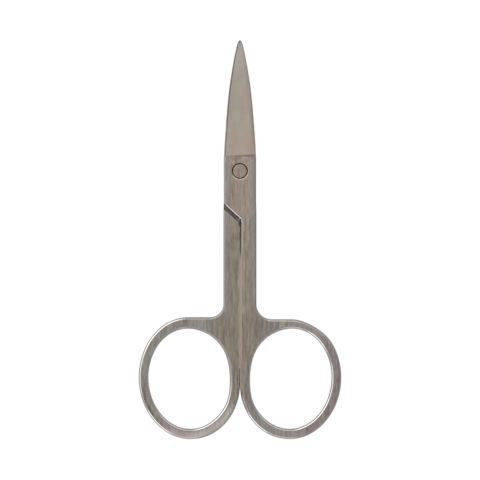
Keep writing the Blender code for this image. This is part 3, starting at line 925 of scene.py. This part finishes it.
def steel_finish(settings, name, side):
    """Brushed shanks, finer ground blades and polished ring rims, with painted highlights and shade on rims
    and edges, and old oil with painted shade in the joint.
    """
    colours, screw, ring = settings.finish, settings.screw, settings.ring
    upper = side > 0
    finish = Finish(name)
    place = finish.place()
    x, y, z = finish.split(place)
    radius = finish.from_axis(place)
    facing = finish.facing()
    tilt = 1 - facing[2].size()
    to_right = facing[0].above(0.02, 0.2)
    off_seam = x.size()
    off_web = off_seam.above(4.5, 9.0)

    # The parts of a half
    shoulder = settings.blade.shoulder / MM
    on_blade = y.above(shoulder - 0.05, shoulder + 0.05)
    on_ring = y.below(-35.0, -29.5)
    on_shank = y.below(-14.0, -8.0)
    near_notch = off_seam.below(2.9, 3.3)
    if upper:
        near_notch = near_notch * y.near(-9.4, 2.0, 2.4) * 0.5
    else:
        near_notch = near_notch * y.near(-10.2, 2.3, 2.6)
    near_shoulder = y.near(shoulder - 0.1, 0.12, 0.16) * (x * side).above(-1.5, 2.5)
    seat_rim = hundredths(screw.head_radius + screw.head_clearance + screw.seat_chamfer)
    near_seat = radius.below(seat_rim + 0.01, seat_rim + 0.08)
    near_seam = off_seam.below(0.5, 0.6) * y.below(-12.0, -11.5)
    rim = tilt.above(0.012, 0.1) * (1 - on_blade) * (1 - near_seam)
    # The blades' steep faces, painted dark as a shaded outline
    bevel = facing[0].size().above(0.5, 0.62) * on_blade
    strip = (facing[0] * -side).above(0.2, 0.27) * on_blade * (1 - bevel)

    # 0 in the middle of a ring and 1 along its outer oval
    middle = ring_middle(ring)
    ring_width, ring_height = ring_extent(ring, *ring_radii(ring))
    across = (off_seam - hundredths(middle.x)) * (1 / hundredths(ring_width))
    along = (y - hundredths(middle.y)) * (1 / hundredths(ring_height))
    from_middle = across * across + along * along

    # Polish, with painted highlight and painted shade on parts of the rims
    # Front: painted shade on the outer rims that face right. Rear: less polish on the rim near the rear
    # fillet.
    if upper:
        dull_and_shaded = from_middle.above(0.84, 0.9) * to_right * 0.75
    else:
        dull_and_shaded = x.above(-13.5, -11.5) * y.above(-52.0, -46.0) * 0.85
    bright_ring = on_ring * (1 - dull_and_shaded)
    # Painted highlight on the seat's chamfer, strongest low down and on the left
    seat_highlight = near_seat * (0.08 + y.below(-1.3, -0.3) * (0.8 - x.above(-1.0, 1.2) * 0.55))
    # Painted shade: rims that face right and down lose their polish
    turned_from_lamps = to_right * facing[1].below(-0.2, -0.02)
    polish = rim * bright_ring.most(near_notch).most(near_shoulder).most(seat_highlight)
    polish = polish * (1 - turned_from_lamps * 0.85)

    # Grain
    wide = finish.grain(place, (0.45, 0.13, 0.45), 2.0)
    streak = finish.grain(place, (2.2, 0.2, 2.2))
    hair = finish.grain(place, (8.0, 0.5, 8.0), roughness=0.7)
    mottle = finish.grain(place, (1.4, 0.8, 1.4), 2.0)
    chatter = finish.grain(place, (0.5, 4.5, 0.5), 2.0)
    on_joint = y.above(-12.5, -9.5)
    brushed = ((streak - 0.5) * 1.3 + (hair - 0.5) * 1.6) * (1 - on_joint * 0.25)
    brushed = brushed + ((mottle - 0.5) * 1.1 + 0.07) * y.above(0.5, 2.5)
    ground = (chatter - 0.5) * 0.16 + (streak - 0.5) * 0.12 + y.above(18.0, 29.0) * 0.17

    # Colours of the plain faces
    ring_tone = on_ring * off_web.most(y.below(-54.0, -49.5))
    low_right = x.above(9.0, 17.0) * y.below(-43.0, -37.0)
    low_left = x.below(-12.5, -10.0) * y.below(-57.5, -54.5)
    shank_steel = colours.shank if upper else tinted(colours.shank, 0.89)
    ring_steel = finish.mix(low_right.most(low_left), colours.ring, colours.rosy)
    blade_steel = finish.mix(y.above(10.0, 26.0), colours.blade, colours.tip)
    plain = finish.mix(on_shank, colours.joint, shank_steel)
    plain = finish.mix(ring_tone, plain, ring_steel)
    plain = finish.mix(on_blade, plain, blade_steel)
    plain = finish.mix(y.above(27.6, 28.5), plain, colours.point)
    plain = finish.mix(strip, plain, colours.strip)

    # How much lighter or darker they are
    low_ring = y.below(-59.0, -52.0) * (0.08 if upper else 0.14)
    web = on_ring * (1 - off_web) * (0.12 if upper else 0.02)
    outer_ring = x.below(-18.5, -14.5) * 0.08
    # Painted highlight along the seam
    seam_highlight = off_seam.below(0.1, 0.5) * y.below(-20.5, -18.5) * 0.45
    # Painted shade: a dark band inside the left ring's outer rim, low on its left side
    outer_band = from_middle.above(0.8, 0.84) * from_middle.below(0.9, 0.95)
    painted_dark_band = outer_band * x.below(-19.5, -17.0) * y.below(-49.5, -47.5) * 0.3
    tone = 1 + brushed * (1 - on_blade) + ground * on_blade + (wide - 0.5) * 0.35
    tone = tone + low_ring + seam_highlight - web - outer_ring - painted_dark_band
    if not upper:
        # Lighter along the bottom of the left ring's band
        toned_patch = from_middle.above(0.7, 0.92) * x.above(-18.0, -14.0) * y.below(-55.0, -51.5)
        tone = tone + toned_patch * 0.55
    hue = finish.mix(wide.above(0.38, 0.62), colours.rosy_hue, colours.olive_hue)
    steel = finish.mix(1.0, finish.shaded(plain, tone), hue, "MULTIPLY")
    cooler = off_seam.above(2.0, 3.4) * (1 - on_blade) * (1 - on_ring) * 0.6
    steel = finish.mix(cooler, steel, colours.cool)
    steel = finish.mix(rim * (0.85 - near_seat * 0.7), steel, colours.rim)

    # The chamfer along the seam, with painted light at its foot where the left half's corner shades it, and
    # darker low down
    painted_foot_light = x.below(0.2, 0.3)
    low_seam = y.below(-43.5, -42.0)
    seam_steel = finish.mix(painted_foot_light, colours.seam, tinted(colours.seam, 1.3))
    seam_steel = finish.mix(low_seam * (1 - painted_foot_light), seam_steel, tinted(colours.seam, 0.78))
    steel = finish.mix(near_seam * tilt.above(0.01, 0.04), steel, seam_steel)

    # Polished rims with a painted highlight round the seat, painted shade on the blades' steep bevels and as
    # a dark line inside the rings' rims, and old oil with painted shade in the gaps
    # Painted highlight colour for the seat's chamfer
    bright = finish.mix(near_seat, colours.polish, tinted(colours.joint, 2.2))
    polished = finish.mix(tilt.above(0.2, 0.45), bright, colours.rim)
    steel = finish.mix(polish, steel, polished)
    # Painted shade: a thin dark line where the flat meets the hole's rim, low on the rings
    painted_rim_shade = tilt.above(0.0005, 0.003) * tilt.below(0.04, 0.08) * from_middle.below(0.76, 0.84)
    painted_rim_shade = painted_rim_shade * y.below(-52.0, -48.0) * 0.7
    steel = finish.mix(bevel.most(painted_rim_shade), steel, colours.bevel)
    # Old oil and painted shade in the joint's gaps: dark, and not metallic
    grime = joint_oil_and_shade(settings, side, x, y, z, radius)
    oily_shade = finish.mix(near_seat, colours.grime, colours.dark_oil_and_shade)
    base = finish.mix(grime, steel, oily_shade)
    rough = colours.rough_ground + (colours.rough_blade - colours.rough_ground) * on_blade
    rough = rough + (hair - 0.5) * 0.12 * (1 - polish) + (colours.rough_rim - colours.rough_ground) * rim
    rough = rough + (colours.rough_polish - colours.rough_rim) * polish + grime * 0.2
    relief = (hair + streak * 0.6) * (1 - 0.9 * polish)
    return finish.metal(base, rough, relief, STEEL_RELIEF, 1 - grime)


def screw_finish(settings):
    """Turned steel: fine rings round the axis."""
    colours = settings.finish
    finish = Finish("turned_screw_steel")
    place = finish.place()
    x, y, z = finish.split(place)
    radius = finish.from_axis(place)
    rings = finish.grain(finish.node("ShaderNodeCombineXYZ", {}, {"X": radius}), (9.0, 1.0, 1.0))
    patches = finish.grain(place, (1.3, 1.3, 1.3))
    tone = 1 + (rings - 0.5) * 0.35 + (patches - 0.5) * 0.3
    top = HEAD_TOP / MM
    # Painted highlight on the head's chamfer
    chamfer = z.above(top - 0.085, top - 0.075) * (1 - finish.facing()[2]).above(0.03, 0.08)
    # Painted shade on the head's side in the open ring round it
    under_chamfer = z.below(top - 0.09, top - 0.08)
    # Painted shadow along the slot's left side, over the lower part of the slot
    toned_patch = y.below(0.3, 0.8) * y.above(-1.3, -1.0)
    shade = x.near(-0.28, 0.06, 0.13) * toned_patch * z.above(1.9, 2.0)
    # Painted highlight beside the slot
    glint = x.near(0.12, 0.04, 0.1) * y.below(-0.4, 0.0) * y.above(-1.0, -0.7)
    steel = finish.shaded(tuple(colours.screw), tone)
    steel = finish.mix((chamfer * 0.7).most(glint * 0.3), steel, tinted(colours.screw, 2.3))
    base = finish.mix((shade * 0.36).most(under_chamfer), steel, colours.dark_oil_and_shade)
    rough = 0.33 + (rings - 0.5) * 0.1 + chamfer * 0.32
    return finish.metal(base, rough, rings, SCREW_RELIEF, 1 - under_chamfer)


class Step:
    """What the operators share."""

    bl_options = {"REGISTER", "UNDO"}


class SCISSORS_OT_front_half(Step, bpy.types.Operator):
    """Make the upper half: blade, joint plate, right shank and right ring"""

    bl_idname = "scissors.front_half"
    bl_label = "Front Half"

    def execute(self, context):
        settings = context.scene.scissors
        half = add_half(settings, "ground_front_half", 1, seat_cutter(settings))
        steel = steel_finish(settings, "front_half_steel", 1)
        finish_piece(half, steel, "front_half", "front")
        return {"FINISHED"}


class SCISSORS_OT_rear_half(Step, bpy.types.Operator):
    """Make the half behind: blade, joint plate, left shank and left ring"""

    bl_idname = "scissors.rear_half"
    bl_label = "Rear Half"

    def execute(self, context):
        settings = context.scene.scissors
        half = add_half(settings, "ground_rear_half", -1, thread_cutter(settings))
        steel = steel_finish(settings, "rear_half_steel", -1)
        finish_piece(half, steel, "rear_half", "rear")
        return {"FINISHED"}


class SCISSORS_OT_pivot_screw(Step, bpy.types.Operator):
    """Make the slotted pivot screw"""

    bl_idname = "scissors.pivot_screw"
    bl_label = "Pivot Screw"

    def execute(self, context):
        settings = context.scene.scissors
        screw = make_piece("turned_pivot_screw", screw_blank(settings))
        combine(screw, make_piece("driver_slot", slot_cutter(settings)))
        settle(screw)
        finish_piece(screw, screw_finish(settings), "pivot_screw", "rear")
        return {"FINISHED"}


PURE_WHITE = (1.0, 1.0, 1.0, 1.0)
PAPER_WHITE = (0.9, 0.9, 0.9, 1.0)
FLOOR_GLOW = 1.03
FLOOR_SIDES = 96

# Shares of the floor's radius and rise
FLOOR_PROFILE = ((0.0, 0.0), (0.9, 0.0), (0.96, 0.25), (1.0, 1.0))


def floor_finish(settings):
    """White to the camera and in reflections, and otherwise lit like paper, which keeps a faint shadow."""
    finish = Finish("pale_floor")
    seen = finish.node("ShaderNodeLightPath", output="Is Camera Ray")
    rays = seen.socket.node.outputs
    for kind in ("Is Glossy Ray", "Is Transmission Ray"):
        seen = seen.most(Signal(finish, rays[kind]))
    paper = finish.node("ShaderNodeBsdfDiffuse", {}, {"Color": PAPER_WHITE})
    white = finish.node("ShaderNodeEmission", {}, {"Color": PURE_WHITE, "Strength": FLOOR_GLOW})
    share_seen = seen * (1 - settings.studio.shadow)
    finish.node_output(finish.node("ShaderNodeMixShader", {}, {0: share_seen, 1: paper, 2: white}))
    return finish.material


def add_floor(settings):
    """A round floor whose border rises behind the scissors from every side."""
    studio = settings.studio
    profile = [(across * studio.floor_radius, up * studio.floor_rise) for across, up in FLOOR_PROFILE]
    floor = make_piece("studio_floor", turned(profile, FLOOR_SIDES))
    floor.data.materials.append(floor_finish(settings))


# Soft lamps: name, bearing (0 is +X, 90 is +Y), elevation, size in metres, radiance
LAMPS = (
    ("overhead_softbox", 270, 80, 2.6, 0.62),
    ("far_left_softbox", 128, 46, 2.0, 2.4),
    ("left_softbox", 174, 40, 1.5, 1.5),
    ("near_left_softbox", 227, 32, 1.2, 2.0),
    ("far_right_softbox", 60, 50, 1.6, 1.2),
    ("near_softbox", 270, 38, 1.4, 0.7),
    ("near_right_softbox", 315, 36, 1.0, 1.2),
)
LAMP_DISTANCE = 2.4
CAMERA_CLIP_START = 0.01
CAMERA_CLIP_END = 10.0

# The room's grey changes between these heights of a sight line of length 1
ROOM_LOW_HEIGHT = 0.2
ROOM_HIGH_HEIGHT = 0.6


def add_lamp(name, bearing, elevation, size, radiance):
    """A square soft lamp facing the scissors."""
    lamp = bpy.data.lights.new(name, "AREA")
    lamp.shape = "SQUARE"
    lamp.size = size
    lamp.energy = radiance * math.pi * size * size
    holder = bpy.data.objects.new(name, lamp)
    around, up = math.radians(bearing), math.radians(elevation)
    direction = Vector((math.cos(around) * math.cos(up), math.sin(around) * math.cos(up), math.sin(up)))
    holder.location = direction * LAMP_DISTANCE
    holder.rotation_euler = direction.to_track_quat("Z", "Y").to_euler()
    bpy.context.scene.collection.objects.link(holder)


def add_room(scene, studio):
    """A grey room that is darker towards the floor."""
    world = bpy.data.worlds.new("quiet_room")
    world.use_nodes = True
    tree = world.node_tree
    direction = tree.nodes.new("ShaderNodeTexCoord")
    height = tree.nodes.new("ShaderNodeSeparateXYZ")
    grey = tree.nodes.new("ShaderNodeMapRange")
    grey.inputs["From Min"].default_value = ROOM_LOW_HEIGHT
    grey.inputs["From Max"].default_value = ROOM_HIGH_HEIGHT
    grey.inputs["To Min"].default_value = studio.room_low
    grey.inputs["To Max"].default_value = studio.room_high
    tree.links.new(direction.outputs["Generated"], height.inputs["Vector"])
    tree.links.new(height.outputs["Z"], grey.inputs["Value"])
    tree.links.new(grey.outputs["Result"], tree.nodes["Background"].inputs["Strength"])
    tree.nodes["Background"].inputs["Color"].default_value = PURE_WHITE
    scene.world = world


class SCISSORS_OT_studio(Step, bpy.types.Operator):
    """Add the pale floor, the soft lamps and the camera over the scissors"""

    bl_idname = "scissors.studio"
    bl_label = "Studio"

    def execute(self, context):
        scene = context.scene
        settings = scene.scissors
        studio = settings.studio
        add_floor(settings)
        for name, bearing, elevation, size, radiance in LAMPS:
            add_lamp(name, bearing, elevation, size, radiance)
        add_room(scene, studio)
        camera = bpy.data.cameras.new("overhead_camera")
        camera.lens = camera.sensor_width * studio.camera_distance / studio.view_width
        camera.clip_start = CAMERA_CLIP_START
        camera.clip_end = CAMERA_CLIP_END
        holder = bpy.data.objects.new("overhead_camera", camera)
        holder.location = (studio.view_x, studio.view_y, studio.view_height + studio.camera_distance)
        scene.collection.objects.link(holder)
        scene.camera = holder
        scene.view_settings.view_transform = "Standard"
        return {"FINISHED"}


class SCISSORS_PT_panel(bpy.types.Panel):
    bl_idname = "SCISSORS_PT_panel"
    bl_label = "Manicure Scissors"
    bl_space_type = "VIEW_3D"
    bl_region_type = "UI"
    bl_category = "Scissors"

    def draw(self, context):
        settings = context.scene.scissors
        for operator in OPERATORS:
            self.layout.operator(operator.bl_idname)
        for group in ScissorsSettings.__annotations__:
            box = self.layout.box()
            box.label(text=group.title())
            sizes = getattr(settings, group)
            for name in sizes.__annotations__:
                box.prop(sizes, name)


OPERATORS = (SCISSORS_OT_studio, SCISSORS_OT_front_half, SCISSORS_OT_rear_half, SCISSORS_OT_pivot_screw)
GROUPS = (RingSizes, ShankSizes, BladeSizes, ScrewSizes, FinishColours, StudioSettings, ScissorsSettings)


def register():
    for cls in (*GROUPS, *OPERATORS, SCISSORS_PT_panel):
        bpy.utils.register_class(cls)
    bpy.types.Scene.scissors = PointerProperty(type=ScissorsSettings)


def unregister():
    del bpy.types.Scene.scissors
    for cls in reversed((*GROUPS, *OPERATORS, SCISSORS_PT_panel)):
        bpy.utils.unregister_class(cls)


def main():
    register()
    bpy.ops.scissors.studio()
    bpy.ops.scissors.front_half()
    bpy.ops.scissors.rear_half()
    bpy.ops.scissors.pivot_screw()


if __name__ == "__main__":
    main()
